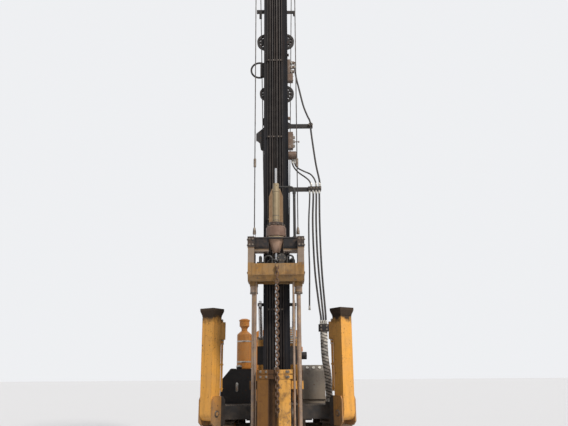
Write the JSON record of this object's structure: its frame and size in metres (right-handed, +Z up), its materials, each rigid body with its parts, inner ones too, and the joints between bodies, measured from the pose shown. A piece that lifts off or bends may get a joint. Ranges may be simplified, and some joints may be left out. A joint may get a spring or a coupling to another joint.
{
  "type": "crawler pile driver rig",
  "caption": "Compact tracked pile driver: tilting leader with a sliding hydraulic drop hammer, a stroking ram and fold-down stabiliser legs.",
  "frame": {"origin": "on the ground under the middle of the machine's box", "axes": "+Z up, the machine faces -Y, +X is at the right of a viewer who faces its front"},
  "size_m": [2.5614, 5.068, 11.6889],
  "materials": {
    "yellow": "worn",
    "orange": "worn",
    "dark_steel": "dirty",
    "track_steel": "rusty",
    "rusty_steel": "rusty",
    "column_steel": "stained",
    "chrome_rod": "polished",
    "black_paint": "satin",
    "grey_paint": "satin",
    "seat_cover": "worn",
    "hose_rubber": "matte",
    "hose_wrap": "dusty"
  },
  "bodies": {
    "root": {"track_left": "track_steel", "track_right": "track_steel", "track_frames": "orange", "track_wheels": "rusty_steel", "base_frame": "orange", "cross_beams": "orange", "front_arms": "orange", "deck": "dark_steel", "counterweight": "dark_steel", "engine_hood": "orange", "engine": "dark_steel", "rear_grille": "black_paint", "air_cleaner": "orange", "exhaust": "rusty_steel", "hydraulic_tank": "black_paint", "operator_seat": "seat_cover", "control_console": "grey_paint"},
    "hood_door_left": {"hood_door_left": "orange"},
    "hood_door_right": {"hood_door_right": "orange"},
    "leg_left": {"leg_left": "yellow"},
    "leg_right": {"leg_right": "yellow"},
    "leader": {"leader": "dark_steel", "leader_foot": "dark_steel", "mast_head": "dark_steel", "leader_fittings": "dark_steel", "leader_valves": "grey_paint", "leader_cooler": "grey_paint", "hose_arm_upper": "black_paint", "hose_arm_lower": "black_paint", "leader_pipes": "grey_paint", "winch_frame": "dark_steel", "hoist_ropes": "dark_steel", "hose_clamp": "black_paint", "hose_bundle": "hose_wrap", "riser_hose_1": "hose_rubber", "riser_hose_2": "hose_rubber", "riser_hose_3": "hose_rubber", "upper_hose": "hose_rubber", "motor_hose_1": "hose_rubber", "motor_hose_2": "hose_rubber", "loose_hose": "hose_rubber"},
    "winch_drum": {"winch_drum": "rusty_steel"},
    "front_sheaves": {"front_sheaves": "dark_steel"},
    "rear_sheaves": {"rear_sheaves": "dark_steel"},
    "hammer": {"hammer_top_frame": "yellow", "guide_columns": "column_steel", "hammer_base": "yellow", "pile_helmet": "rusty_steel", "hammer_cylinder": "yellow", "hammer_valve": "black_paint", "lifting_chain": "rusty_steel"},
    "ram": {"ram": "yellow", "ram_rod": "chrome_rod"},
    "tilt_barrel_left": {"tilt_barrel_left": "yellow"},
    "tilt_barrel_right": {"tilt_barrel_right": "yellow"},
    "tilt_rod_left": {"tilt_rod_left": "chrome_rod"},
    "tilt_rod_right": {"tilt_rod_right": "chrome_rod"}
  },
  "joints": [
    {"name": "leader_tilt", "type": "hinge", "parent": "root", "child": "leader", "pos_m": [0, -1.096, 0.9], "axis": [-1, 0, 0], "range_deg": [-5, 15], "deforming": ["hose_bundle"]},
    {"name": "hammer_slide", "type": "slide", "parent": "leader", "child": "hammer", "axis": [0, 0, 1], "range_m": [0, 5.2]},
    {"name": "ram_stroke", "type": "slide", "parent": "hammer", "child": "ram", "axis": [0, 0, 1], "range_m": [0, 1.2]},
    {"name": "winch_spin", "type": "hinge", "parent": "leader", "child": "winch_drum", "pos_m": [0, -1.086, 1.85], "axis": [1, 0, 0], "continuous": true},
    {"name": "front_sheave_spin", "type": "hinge", "parent": "leader", "child": "front_sheaves", "pos_m": [0, -1.9, 11.5], "axis": [1, 0, 0], "continuous": true},
    {"name": "rear_sheave_spin", "type": "hinge", "parent": "leader", "child": "rear_sheaves", "pos_m": [0, -1.196, 11.5], "axis": [1, 0, 0], "continuous": true},
    {"name": "leg_left_swing", "type": "hinge", "parent": "root", "child": "leg_left", "pos_m": [-1.085, -1.446, 0.95], "axis": [0.8387, -0.5446, 0], "range_deg": [0, 119.5]},
    {"name": "leg_right_swing", "type": "hinge", "parent": "root", "child": "leg_right", "pos_m": [1.085, -1.446, 0.95], "axis": [0.8387, 0.5446, 0], "range_deg": [0, 119.5]},
    {"name": "door_left_hinge", "type": "hinge", "parent": "root", "child": "hood_door_left", "pos_m": [-0.475, 0.618, 1.14], "axis": [0, 0, 1], "range_deg": [0, 110]},
    {"name": "door_right_hinge", "type": "hinge", "parent": "root", "child": "hood_door_right", "pos_m": [0.475, 0.618, 1.14], "axis": [0, 0, -1], "range_deg": [0, 110]},
    {"name": "tilt_barrel_left_pin", "type": "hinge", "parent": "root", "child": "tilt_barrel_left", "pos_m": [-0.29, -0.146, 1.29], "axis": [-1, 0, 0], "range_deg": [-4.7, 13.7]},
    {"name": "tilt_rod_left_stroke", "type": "slide", "parent": "tilt_barrel_left", "child": "tilt_rod_left", "axis": [0, -0.6116, 0.7912], "range_m": [-0.2672, 0.0911]},
    {"name": "tilt_barrel_right_pin", "type": "hinge", "parent": "root", "child": "tilt_barrel_right", "pos_m": [0.29, -0.146, 1.29], "axis": [-1, 0, 0], "range_deg": [-4.7, 13.7]},
    {"name": "tilt_rod_right_stroke", "type": "slide", "parent": "tilt_barrel_right", "child": "tilt_rod_right", "axis": [0, -0.6116, 0.7912], "range_m": [-0.2672, 0.0911]}
  ],
  "couplings": [
    {"joint": "tilt_barrel_left_pin", "follows": "leader_tilt", "ratio": 0.8998},
    {"joint": "tilt_rod_left_stroke", "follows": "leader_tilt", "m_per_rad": -1.0093},
    {"joint": "tilt_barrel_right_pin", "follows": "leader_tilt", "ratio": 0.8998},
    {"joint": "tilt_rod_right_stroke", "follows": "leader_tilt", "m_per_rad": -1.0093}
  ]
}
